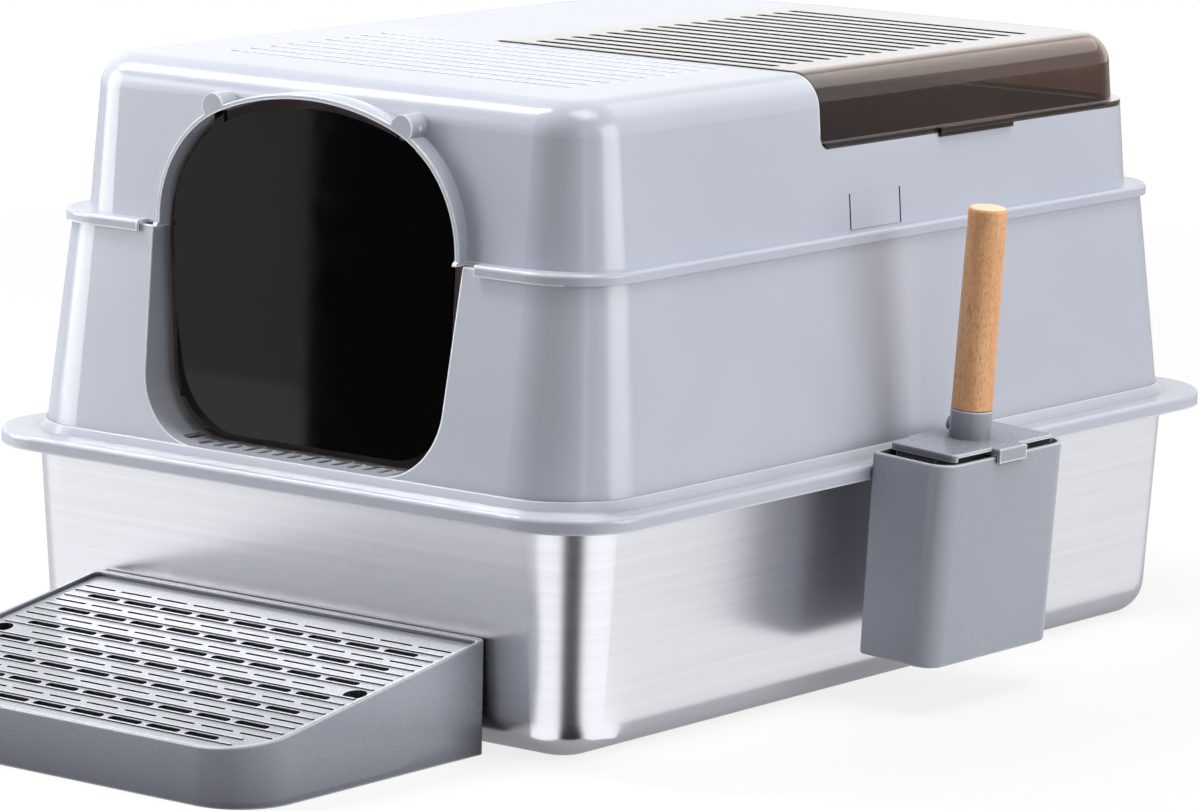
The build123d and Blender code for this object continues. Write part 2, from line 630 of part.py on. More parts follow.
# Top cover: drafted hood with a collar round the entry and a cut-out for the lid
with BuildPart() as top_cover:
    drafted(cover_w, cover_l, COVER_R, cover_ledge_z, COVER_RISE, COVER_DRAFT)
    fillet(top_cover.edges().group_by(Axis.Z)[-1], radius=COVER_TOP_R)
    drafted(cover_fl_w, cover_fl_l, COVER_FL_R, cover_lip_z, cover_ledge_z - cover_lip_z, 0)
    fillet(
        top_cover.edges().filter_by_position(Axis.Z, cover_ledge_z, cover_ledge_z).group_by(SortBy.DISTANCE)[-1],
        radius=COVER_EDGE_R,
    )
    drafted(
        cover_fl_w - 2 * COVER_LIP_T,
        cover_fl_l - 2 * COVER_LIP_T,
        COVER_FL_R - COVER_LIP_T,
        cover_lip_z,
        cover_seat_z - cover_lip_z,
        0,
        Mode.SUBTRACT,
    )
    drafted(cover_skirt_w, cover_skirt_l, cover_skirt_r, cover_skirt_z, cover_seat_z - cover_skirt_z, 0)
    drafted(
        cover_skirt_w - 2 * SKIRT_T,
        cover_skirt_l - 2 * SKIRT_T,
        cover_skirt_r - SKIRT_T,
        cover_skirt_z,
        cover_seat_z - cover_skirt_z,
        0,
        Mode.SUBTRACT,
    )
    add(collar.part)
    rod(EAR_X, ear_z, EAR_R, arch_back_y, arch_front_y)
    rod(-EAR_X, ear_z, EAR_R, arch_back_y, arch_front_y)
    add(cover_hollow.part, mode=Mode.SUBTRACT)
    # entry, flap pockets and the slots that let the flap's lugs swing
    arch(ARCH_T, cover_skirt_z - OVER, arch_back_y + OVER, arch_front_y - OVER, Mode.SUBTRACT)
    slab(
        -reveal_clear_x,
        reveal_clear_x,
        -cover_skirt_l,
        arch_back_y,
        cover_skirt_z,
        guard_top,
        Mode.SUBTRACT,
    )
    for ear_x in (-EAR_X, EAR_X):
        rod(ear_x, ear_z, EAR_POCKET_R, arch_back_y, arch_front_y + EAR_CAP_T, Mode.SUBTRACT)
        slab(
            ear_x - FLAP_LUG_W * HALF - LUG_FIT,
            ear_x + FLAP_LUG_W * HALF + LUG_FIT,
            arch_front_y + EAR_CAP_T,
            arch_back_y,
            ear_z - 2 * EAR_R,
            ear_z,
            Mode.SUBTRACT,
        )
        cross_rod(
            flap_y,
            ear_z,
            FLAP_PIN_R,
            ear_x - flap_pin_l * HALF,
            ear_x + flap_pin_l * HALF,
            Mode.SUBTRACT,
        )
    # gaps in the flange beside the collar
    for gap_x in (-ARCH_W * HALF - COVER_FL_GAP_X, ARCH_W * HALF):
        slab(
            gap_x,
            gap_x + COVER_FL_GAP_X,
            -cover_fl_l,
            -cover_l * HALF - COVER_FL_GAP_IN,
            cover_lip_z - OVER,
            cover_ledge_z,
            Mode.SUBTRACT,
        )
    # cut-out for the lid
    add(lid_opening.part, mode=Mode.SUBTRACT)
    slab(ledge_x0, ledge_x1, LID_CUT_Y - LEDGE_W, LID_CUT_Y, ledge_top_z - LEDGE_T, cover_top - WALL)
    slab(ledge_x0, ledge_x1, LID_CUT_Y, LID_CUT_Y + LEDGE_W, ledge_top_z - LEDGE_T, ledge_top_z)
    # front hinge arm, a plate under the roof
    slab(
        hinge_x - FRONT_ARM_W * HALF,
        hinge_x + FRONT_ARM_W * HALF,
        front_arm_y0,
        front_arm_y1,
        hinge_z - HINGE_R,
        cover_top - WALL,
    )
    # rear hinge arm, reaching under the lid's edge and up to the pin
    slab(arm_post_x0, arm_post_x1, rear_arm_y0, rear_arm_y1, arm_foot_z0, cover_top - WALL)
    slab(arm_post_x0, hinge_x + HINGE_NECK_W * HALF, rear_arm_y0, rear_arm_y1, arm_foot_z0, arm_foot_z1)
    slab(
        hinge_x - HINGE_NECK_W * HALF,
        hinge_x + HINGE_NECK_W * HALF,
        rear_arm_y0,
        rear_arm_y1,
        arm_foot_z0,
        hinge_z,
    )
    rod(hinge_x, hinge_z, HINGE_R, rear_arm_y1, rear_arm_y0)
    rod(hinge_x, hinge_z, HINGE_PIN_R, rear_arm_y1, rear_arm_y0, Mode.SUBTRACT)
    rod(hinge_x, hinge_z, HINGE_PIN_R, front_arm_y1, front_arm_y0, Mode.SUBTRACT)
    # grooves in the front of the roof
    with BuildSketch(Plane.XY.offset(cover_top)) as grooves:
        with Locations((0, roof_groove_y + GROOVE_PITCH * (ROOF_GROOVES - 1) * HALF)):
            with GridLocations(0, GROOVE_PITCH, 1, ROOF_GROOVES):
                SlotOverall(ROOF_GROOVE_L, GROOVE_W)
    extrude(amount=-GROOVE_DEPTH, mode=Mode.SUBTRACT)
    # windows for the two latches, and gaps in the skirt for their legs
    for side in (-1, 1):
        window_x = sorted((side * cover_skirt_w * HALF * HALF, side * cover_w))
        slab(
            window_x[0],
            window_x[1],
            LATCH_Y0 - SLIT,
            LATCH_Y1 + SLIT,
            latch_z0 - SLIT_FOOT,
            latch_z1 + TOUCH,
            Mode.SUBTRACT,
        )
        slab(
            window_x[0],
            window_x[1],
            LATCH_Y0 - LATCH_MARGIN,
            LATCH_Y1 + LATCH_MARGIN,
            cover_skirt_z - OVER,
            cover_lip_z,
            Mode.SUBTRACT,
        )
        toe_x = sorted((side * cover_skirt_w * HALF * HALF, side * (latch_toe_x + LUG_FIT)))
        slab(
            toe_x[0],
            toe_x[1],
            LATCH_Y0 - LATCH_MARGIN,
            LATCH_Y1 + LATCH_MARGIN,
            cover_skirt_z - OVER,
            cover_seat_z,
            Mode.SUBTRACT,
        )
top_cover.part.label = "top_cover"
export_step(top_cover.part, "parts/top_cover.step")

# Latch on the right: a tongue of the cover's wall with a leg that reaches down inside the guard
with BuildPart() as cover_latch_right:
    drafted(cover_w, cover_l, COVER_R, cover_ledge_z, COVER_RISE, COVER_DRAFT)
    add(cover_hollow.part, mode=Mode.SUBTRACT)
    slab(0, cover_w, LATCH_Y0, LATCH_Y1, latch_z0, latch_z1, Mode.INTERSECT)
    slab(latch_leg_x - LATCH_LEG_T, latch_leg_x, latch_leg_y0, latch_leg_y1, latch_leg_z0, latch_leg_z1)
    slab(latch_leg_x - LATCH_LEG_T, latch_join_x, latch_leg_y0, latch_leg_y1, latch_join_z, latch_leg_z1)
    slab(latch_leg_x - LATCH_LEG_T, latch_toe_x, latch_leg_y0, latch_leg_y1, latch_leg_z0, latch_toe_z)
cover_latch_right.part.label = "cover_latch_right"
export_step(cover_latch_right.part, "parts/cover_latch_right.step")

# Latch on the left, the mirror image
with BuildPart() as cover_latch_left:
    mirror(cover_latch_right.part, about=Plane.YZ)
cover_latch_left.part.label = "cover_latch_left"
export_step(cover_latch_left.part, "parts/cover_latch_left.step")

# Inside of the flip lid
with BuildPart() as lid_hollow:
    drafted(
        lid_w - 2 * LID_T,
        lid_l - 2 * LID_T,
        lid_r - LID_T,
        lid_base_z,
        lid_top - LID_T - lid_base_z,
        COVER_DRAFT,
    )
    fillet(lid_hollow.edges().group_by(Axis.Z)[-1], radius=LID_TOP_R - LID_T)

# Bounds of the flip lid, with rounded foot corners
with BuildPart() as lid_bound:
    slab(lid_x, cover_w, lid_y, cover_l, lid_foot_z - OVER, lid_top + OVER)
    slab(lid_x, cover_w, lid_y, lid_y + LID_CUT_R, lid_foot_z - OVER, lid_foot_z, Mode.SUBTRACT)
    slab(lid_x, lid_x + LID_CUT_R, lid_y, cover_l, lid_foot_z - OVER, lid_foot_z, Mode.SUBTRACT)
    front_edges = lid_bound.edges().filter_by(Axis.X).filter_by_position(Axis.Y, lid_y - TOUCH, lid_y + TOUCH)
    side_edges = lid_bound.edges().filter_by(Axis.Y).filter_by_position(Axis.X, lid_x - TOUCH, lid_x + TOUCH)
    fillet([front_edges.sort_by(Axis.Z)[0], side_edges.sort_by(Axis.Z)[0]], radius=lid_foot_r)

# Flip lid: a hood over the right rear corner, with an edge flange, a finger tab and two hinge lugs
with BuildPart() as flip_lid:
    drafted(lid_w, lid_l, lid_r, lid_base_z, lid_top - lid_base_z, COVER_DRAFT)
    fillet(flip_lid.edges().group_by(Axis.Z)[-1], radius=LID_TOP_R)
    add(lid_hollow.part, mode=Mode.SUBTRACT)
    slab(lid_x, cover_w, lid_y, cover_l, lid_foot_z, lid_top + OVER, Mode.INTERSECT)
    with BuildSketch(Plane.XY.offset(lid_foot_z)) as rim:
        RectangleRounded(lid_rim_w, lid_rim_l, lid_rim_r)
        RectangleRounded(
            lid_rim_w - 2 * lid_rim_in,
            lid_rim_l - 2 * lid_rim_in,
            lid_rim_r - lid_rim_in,
            mode=Mode.SUBTRACT,
        )
        with Locations(((lid_x + cover_w) * HALF, (lid_y + cover_l) * HALF)):
            Rectangle(cover_w - lid_x, cover_l - lid_y, mode=Mode.INTERSECT)
    extrude(amount=LID_FLANGE_T)
    slab(
        lid_rim_w * HALF - LID_INSET,
        lid_tab_x1,
        LID_TAB_Y0,
        LID_TAB_Y1,
        lid_foot_z,
        lid_foot_z + LID_FLANGE_T,
    )
    slab(lid_tab_x1 - LID_TAB_T, lid_tab_x1, LID_TAB_Y0, LID_TAB_Y1, lid_foot_z - LID_TAB_DROP, lid_foot_z)
    for lug_y0, lug_y1 in ((lid_y + LUG_FIT, front_lug_y1), (rear_lug_y0, rear_lug_y1)):
        rod(hinge_x, hinge_z, HINGE_R, lug_y1, lug_y0)
        slab(
            hinge_x - HINGE_NECK_W * HALF,
            hinge_x + HINGE_NECK_W * HALF,
            lug_y0,
            lug_y1,
            hinge_z,
            lid_top - LID_T * HALF,
        )
        rod(hinge_x, hinge_z, HINGE_PIN_R + RUN_FIT, lug_y1, lug_y0, Mode.SUBTRACT)
    add(lid_bound.part, mode=Mode.INTERSECT)
    with BuildSketch(Plane.XY.offset(lid_top)) as lid_grooves:
        with Locations((lid_groove_x, lid_groove_y + GROOVE_PITCH * (LID_GROOVES - 1) * HALF)):
            with GridLocations(0, GROOVE_PITCH, 1, LID_GROOVES):
                SlotOverall(lid_groove_x1 - lid_groove_x0, LID_GROOVE_W)
    extrude(amount=-LID_GROOVE_DEPTH, mode=Mode.SUBTRACT)
flip_lid.part.label = "flip_lid"
export_step(flip_lid.part, "parts/flip_lid.step")

# Lid hinge pins, pressed into the cover's arms
with BuildPart() as lid_hinge_pin_front:
    rod(hinge_x, hinge_z, HINGE_PIN_R, front_lug_y1, front_arm_y0)
lid_hinge_pin_front.part.label = "lid_hinge_pin_front"
export_step(lid_hinge_pin_front.part, "parts/lid_hinge_pin_front.step")

with BuildPart() as lid_hinge_pin_rear:
    rod(hinge_x, hinge_z, HINGE_PIN_R, rear_lug_y1, rear_arm_y0)
lid_hinge_pin_rear.part.label = "lid_hinge_pin_rear"
export_step(lid_hinge_pin_rear.part, "parts/lid_hinge_pin_rear.step")

# Entry flap: a flat panel hung from two lugs
with BuildPart() as entry_flap:
    arch(ARCH_T + FLAP_GAP, arch_side_cz - OVER, flap_y + FLAP_T * HALF, flap_y - FLAP_T * HALF)
    with BuildSketch(Plane.XZ.offset(-flap_y - FLAP_T * HALF)) as apron:
        with BuildLine():
            Polyline(
                (-flap_side_x, arch_side_cz),
                (-FLAP_FOOT_W * HALF, flap_foot_z),
                (FLAP_FOOT_W * HALF, flap_foot_z),
                (flap_side_x, arch_side_cz),
                close=True,
            )
        make_face()
        fillet(apron.vertices().group_by(Axis.Y)[0], radius=FLAP_FOOT_R)
    extrude(amount=FLAP_T)
    for lug_x in (-EAR_X, EAR_X):
        cross_rod(flap_y, ear_z, FLAP_LUG_R, lug_x - FLAP_LUG_W * HALF, lug_x + FLAP_LUG_W * HALF)
        slab(
            lug_x - FLAP_LUG_W * HALF,
            lug_x + FLAP_LUG_W * HALF,
            flap_y - FLAP_T * HALF,
            flap_y + FLAP_T * HALF,
            ear_z - 2 * EAR_R,
            ear_z,
        )
        cross_rod(
            flap_y,
            ear_z,
            FLAP_PIN_R + RUN_FIT,
            lug_x - FLAP_LUG_W * HALF,
            lug_x + FLAP_LUG_W * HALF,
            Mode.SUBTRACT,
        )
entry_flap.part.label = "entry_flap"
export_step(entry_flap.part, "parts/entry_flap.step")

# Flap hinge pins, pressed into the walls of the ear pockets
with BuildPart() as flap_hinge_pin_left:
    cross_rod(flap_y, ear_z, FLAP_PIN_R, -EAR_X - flap_pin_l * HALF, -EAR_X + flap_pin_l * HALF)
flap_hinge_pin_left.part.label = "flap_hinge_pin_left"
export_step(flap_hinge_pin_left.part, "parts/flap_hinge_pin_left.step")

with BuildPart() as flap_hinge_pin_right:
    cross_rod(flap_y, ear_z, FLAP_PIN_R, EAR_X - flap_pin_l * HALF, EAR_X + flap_pin_l * HALF)
flap_hinge_pin_right.part.label = "flap_hinge_pin_right"
export_step(flap_hinge_pin_right.part, "parts/flap_hinge_pin_right.step")

# Inside of the scoop holder
with BuildPart() as holder_hollow:
    with BuildSketch(Plane.XY.offset(hold_z1)) as mouth:
        with Locations((hold_xc, HOLD_YC)):
            Rectangle(hold_x1 - hold_x0 - 2 * HOLD_T, HOLD_W - 2 * HOLD_T)
        fillet(mouth.vertices().group_by(Axis.X)[-1], radius=HOLD_FRONT_R - HOLD_T)
        fillet(mouth.vertices().group_by(Axis.X)[0], radius=HOLD_BACK_R - HOLD_T)
    extrude(amount=-(hold_z1 - hold_z0 - HOLD_T), taper=HOLD_DRAFT)

# Pocket of the scoop holder, upright
with BuildPart() as holder_pocket:
    with BuildSketch(Plane.XY.offset(hold_z1)) as pocket:
        with Locations((hold_xc, HOLD_YC)):
            Rectangle(hold_x1 - hold_x0, HOLD_W)
        fillet(pocket.vertices().group_by(Axis.X)[-1], radius=HOLD_FRONT_R)
        fillet(pocket.vertices().group_by(Axis.X)[0], radius=HOLD_BACK_R)
    extrude(amount=-(hold_z1 - hold_z0), taper=HOLD_DRAFT)
    fillet(holder_pocket.edges().group_by(Axis.Z)[0], radius=HOLD_FOOT_R)
    fillet(holder_pocket.edges().group_by(Axis.Z)[-1], radius=HOLD_MOUTH_R)
    add(holder_hollow.part, mode=Mode.SUBTRACT)

# Scoop holder: the pocket, leaning out, with two hooks that drop through the guard's flange
with BuildPart() as scoop_holder:
    add(holder_pocket.part.rotate(lean_axis, HOLD_LEAN))
    for hook_y in (HOLD_YC - HOOK_PITCH * HALF, HOLD_YC + HOOK_PITCH * HALF):
        slab(
            hook_x0,
            hold_x0 + HOLD_T,
            hook_y - HOOK_W * HALF,
            hook_y + HOOK_W * HALF,
            guard_ledge_z + LOOSE,
            guard_ledge_z + LOOSE + HOOK_T,
        )
        slab(
            hook_x0,
            hook_x1,
            hook_y - HOOK_W * HALF,
            hook_y + HOOK_W * HALF,
            hook_z0,
            guard_ledge_z + LOOSE + HOOK_T,
        )
scoop_holder.part.label = "scoop_holder"
export_step(scoop_holder.part, "parts/scoop_holder.step")

# Scoop head: slotted blade with side walls, a cap that rests on the holder, and a handle socket, upright
with BuildPart() as head_upright:
    with BuildSketch(Plane.XY.offset(cap_z0)) as cap:
        with Locations(((cap_x0 + cap_x1) * HALF, HOLD_YC)):
            Rectangle(cap_x1 - cap_x0, CAP_W)
        fillet(cap.vertices(), radius=CAP_R)
    extrude(amount=cap_z1 - cap_z0)
    slab(
        cap_rest_x0,
        cap_x0 + CAP_R,
        HOLD_YC - CAP_REST_W * HALF,
        HOLD_YC + CAP_REST_W * HALF,
        cap_z0,
        cap_z1,
    )
    slab(cap_x1 - CAP_R, tab_x1, HOLD_YC - TAB_W * HALF, HOLD_YC + TAB_W * HALF, cap_z0, cap_z1)
    fillet(head_upright.edges().group_by(Axis.Z)[-1], radius=CAP_EDGE_R)
    slab(tab_x1 - TAB_T, tab_x1, HOLD_YC - TAB_W * HALF, HOLD_YC + TAB_W * HALF, tab_z0, cap_z0)
    # two finger slots under the cap's front edge, one each side of the tab
    for slot_y0, slot_y1 in (
        (-CAP_W * HALF + CAP_SLOT_END, -TAB_W * HALF),
        (TAB_W * HALF, CAP_W * HALF - CAP_SLOT_END),
    ):
        slab(
            cap_x1 - CAP_SLOT_D,
            cap_x1 + OVER,
            HOLD_YC + slot_y0,
            HOLD_YC + slot_y1,
            cap_z0,
            cap_z0 + CAP_SLOT_H,
            Mode.SUBTRACT,
        )
    # blade and its two side walls
    slab(blade_x0, blade_x0 + BLADE_T, HOLD_YC - BLADE_W * HALF, HOLD_YC + BLADE_W * HALF, blade_z0, cap_z0)
    for wall_y in (HOLD_YC - BLADE_W * HALF, HOLD_YC + BLADE_W * HALF - BLADE_T):
        with BuildSketch(Plane.XZ.offset(-wall_y)) as cheek:
            with BuildLine():
                Polyline(
                    (blade_x0, blade_z0),
                    (blade_x0 + BLADE_T, blade_z0),
                    (blade_x1, cap_z0 - BLADE_SLOT_L * HALF),
                    (blade_x1, cap_z0),
                    (blade_x0, cap_z0),
                    close=True,
                )
            make_face()
        extrude(amount=-BLADE_T)
    with BuildSketch(Plane.YZ.offset(blade_x0)) as slots:
        with Locations((HOLD_YC, blade_slot_z)):
            with GridLocations(BLADE_SLOT_PITCH, 0, BLADE_SLOTS, 1):
                SlotOverall(BLADE_SLOT_L, BLADE_SLOT_W, rotation=90)
    extrude(amount=BLADE_T, mode=Mode.SUBTRACT)
    # leaning socket with a boss for the handle's screw
    with BuildSketch(handle_plane.offset(-SOCKET_SINK)) as socket:
        Circle(SOCKET_R)
    extrude(amount=SOCKET_L + SOCKET_SINK)
    with BuildSketch(nub_plane) as nub:
        Circle(NUB_R)
    extrude(amount=NUB_REACH)
    with BuildSketch(handle_plane.offset(SOCKET_L - SOCKET_BORE_DEPTH)) as bore:
        Circle(SOCKET_BORE_R)
    extrude(amount=SOCKET_BORE_DEPTH, mode=Mode.SUBTRACT)
    with BuildSketch(nub_plane.offset(NUB_REACH)) as seat:
        Circle(SCREW_HEAD_R + LOOSE)
    extrude(amount=-SCREW_HEAD_T, mode=Mode.SUBTRACT)
    with BuildSketch(nub_plane.offset(NUB_REACH)) as drill:
        Circle(SCREW_R)
    extrude(amount=SCREW_TIP - NUB_REACH, mode=Mode.SUBTRACT)

# Scoop head, leaning with the holder
with BuildPart() as scoop_head:
    add(head_upright.part.rotate(lean_axis, HOLD_LEAN))
scoop_head.part.label = "scoop_head"
export_step(scoop_head.part, "parts/scoop_head.step")

# Wooden handle with a tenon in the socket, upright
with BuildPart() as handle_upright:
    with BuildSketch(handle_plane.offset(SOCKET_L + TOUCH)) as grip_foot:
        Circle(HANDLE_R0)
    with BuildSketch(handle_plane.offset(SOCKET_L + TOUCH + HANDLE_L)) as grip_top:
        Circle(HANDLE_R1)
    loft()
    fillet(handle_upright.edges().group_by(Axis.Z)[-1], radius=HANDLE_END_R)
    chamfer(handle_upright.edges().group_by(Axis.Z)[0], length=HANDLE_FOOT_C)
    with BuildSketch(handle_plane.offset(SOCKET_L - TENON_L)) as tenon:
        Circle(TENON_R)
    extrude(amount=TENON_L + HANDLE_FOOT_C)
    with BuildSketch(nub_plane.offset(NUB_REACH)) as pilot:
        Circle(SCREW_R)
    extrude(amount=SCREW_TIP - NUB_REACH, mode=Mode.SUBTRACT)

# Scoop handle, leaning with its socket
with BuildPart() as scoop_handle:
    add(handle_upright.part.rotate(lean_axis, HOLD_LEAN))
scoop_handle.part.label = "scoop_handle"
export_step(scoop_handle.part, "parts/scoop_handle.step")

# Screw that holds the handle in its socket, upright
with BuildPart() as screw_upright:
    with BuildSketch(nub_plane.offset(NUB_REACH)) as head:
        Circle(SCREW_HEAD_R)
    extrude(amount=-SCREW_HEAD_T)
    with BuildSketch(nub_plane.offset(NUB_REACH - SCREW_HEAD_T)) as shank:
        Circle(SCREW_R)
    extrude(amount=SCREW_TIP + SCREW_HEAD_T - NUB_REACH)
    with BuildSketch(nub_plane.offset(NUB_REACH)) as drive:
        Rectangle(SCREW_SLOT_W, SCREW_HEAD_R)
        Rectangle(SCREW_HEAD_R, SCREW_SLOT_W)
    extrude(amount=-SCREW_SLOT_D, mode=Mode.SUBTRACT)

# Handle screw, leaning with the socket
with BuildPart() as handle_screw:
    add(screw_upright.part.rotate(lean_axis, HOLD_LEAN))
handle_screw.part.label = "handle_screw"
export_step(handle_screw.part, "parts/handle_screw.step")

# Step base: an open tray with a sloping rim and a seat for the grate
with BuildPart() as step_base:
    with BuildSketch(Plane.XY) as foot:
        with Locations((0, step_yc)):
            Rectangle(STEP_W, step_run)
        fillet(foot.vertices().group_by(Axis.Y)[0], radius=STEP_FRONT_R)
        fillet(foot.vertices().group_by(Axis.Y)[-1], radius=STEP_BACK_R)
    extrude(amount=STEP_BACK_Z)
    with BuildSketch(slope_plane) as above:
        Rectangle(2 * STEP_W, 2 * step_long)
    extrude(amount=STEP_BACK_Z, mode=Mode.SUBTRACT)
    fillet(step_base.faces().sort_by(slope_axis)[-1].edges(), radius=STEP_RIM_R)
    with BuildSketch(Plane.XY.offset(STEP_T)) as tray:
        with Locations((0, step_yc)):
            Rectangle(STEP_W - 2 * step_in, step_run - 2 * step_in)
        fillet(tray.vertices().group_by(Axis.Y)[0], radius=STEP_FRONT_R - step_in)
        fillet(tray.vertices().group_by(Axis.Y)[-1], radius=STEP_TRAY_R)
    extrude(amount=STEP_BACK_Z, mode=Mode.SUBTRACT)
    with BuildSketch(slope_plane.offset(-STEP_RECESS)) as recess:
        with Locations((0, recess_v)):
            Rectangle(STEP_W - 2 * STEP_T, recess_l)
        fillet(recess.vertices().group_by(Axis.Y)[0], radius=STEP_FRONT_R - STEP_T)
        fillet(recess.vertices().group_by(Axis.Y)[-1], radius=STEP_TRAY_R)
    extrude(amount=STEP_RECESS + OVER, mode=Mode.SUBTRACT)
step_base.part.label = "step_base"
export_step(step_base.part, "parts/step_base.step")

# Step grate: a slotted plate with ribs, lying in the base's recess
with BuildPart() as step_grate:
    with BuildSketch(slope_plane.offset(-STEP_RECESS + LOOSE)) as plate:
        with Locations((0, recess_v)):
            Rectangle(STEP_W - 2 * STEP_T - 2 * FIT, recess_l - 2 * FIT)
        fillet(plate.vertices().group_by(Axis.Y)[0], radius=STEP_FRONT_R - STEP_T - FIT)
        fillet(plate.vertices().group_by(Axis.Y)[-1], radius=STEP_TRAY_R - FIT)
    extrude(amount=GRATE_T)
    with BuildSketch(grate_plane) as ribs:
        for row in range(GRATE_ROWS):
            with Locations((0, grate_row_v - row * GRATE_ROW_PITCH)):
                with GridLocations(0, 2 * GRATE_RIB_OFF, 1, 2):
                    Rectangle(GRATE_RIB_L - 2 * GRATE_RIB_TRIM * (row // (GRATE_ROWS - 1)), GRATE_RIB_W)
    extrude(amount=GRATE_RIB_H)
    with BuildSketch(grate_plane) as wide:
        for row in range(GRATE_ROWS):
            with Locations((0, grate_row_v - row * GRATE_ROW_PITCH)):
                with GridLocations(GRATE_COL_PITCH, 0, GRATE_COLS - row // (GRATE_ROWS - 1), 1):
                    SlotOverall(GRATE_SLOT_L, GRATE_WIDE_W)
    extrude(amount=-GRATE_T, mode=Mode.SUBTRACT)
    with BuildSketch(grate_plane) as thin:
        for row in range(GRATE_ROWS):
            with Locations((0, grate_row_v - (row - HALF) * GRATE_ROW_PITCH)):
                with GridLocations(GRATE_COL_PITCH, 0, GRATE_THIN_COLS - 2 * int(row == GRATE_HOLE_ROW), 1):
                    SlotOverall(GRATE_SLOT_L, GRATE_THIN_W)
    extrude(amount=-GRATE_T, mode=Mode.SUBTRACT)
    with BuildSketch(grate_plane) as holes:
        with Locations((0, grate_hole_v)):
            with GridLocations(2 * GRATE_HOLE_X, 0, 2, 1):
                Circle(GRATE_HOLE_R)
    extrude(amount=-GRATE_T, mode=Mode.SUBTRACT)
step_grate.part.label = "step_grate"
export_step(step_grate.part, "parts/step_grate.step")
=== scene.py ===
"""Covered litter box with a steel pan: looks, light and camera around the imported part."""
import math

import bpy
from mathutils import Matrix, Vector


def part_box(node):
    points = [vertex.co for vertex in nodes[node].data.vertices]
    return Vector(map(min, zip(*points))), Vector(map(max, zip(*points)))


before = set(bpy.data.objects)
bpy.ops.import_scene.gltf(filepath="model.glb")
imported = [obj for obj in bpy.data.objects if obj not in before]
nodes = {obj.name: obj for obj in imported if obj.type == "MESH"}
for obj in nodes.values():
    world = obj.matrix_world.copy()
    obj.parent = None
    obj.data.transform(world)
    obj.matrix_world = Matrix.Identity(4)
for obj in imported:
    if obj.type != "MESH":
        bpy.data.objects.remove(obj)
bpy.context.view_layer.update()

scene = bpy.context.scene
scene.view_settings.view_transform = "Standard"

HALF = 0.5
WHITE = (1.0, 1.0, 1.0, 1.0)
# Most of a noise lies between these two values.
NOISE_LOW = 0.3
NOISE_HIGH = 0.7
# A face looks along an axis where its normal has more than this share of it.
MOSTLY = 0.7
# The colour sockets of a Mix node, by number, because their names repeat.
MIX_FACTOR, MIX_FIRST, MIX_SECOND = 0, 6, 7
MIX_RESULT = 2
BEVEL_SAMPLES = 6
SHADE_SAMPLES = 8


# Materials

def srgb(r, g, b):
    """A colour written 0-255 as it should look, as linear values."""
    linear = []
    for level in (r, g, b):
        v = level / 255.0
        linear.append(v / 12.92 if v <= 0.04045 else ((v + 0.055) / 1.055) ** 2.4)
    return (*linear, 1.0)


# The painted highlight tone of outer edges, its greatest share, and the two levels of inner shade it fades
# between.
EDGE_HIGHLIGHT_TONE = srgb(246, 248, 252)
EDGE_SHARE = 0.95
EDGE_FULL = 0.72
EDGE_NONE = 0.96


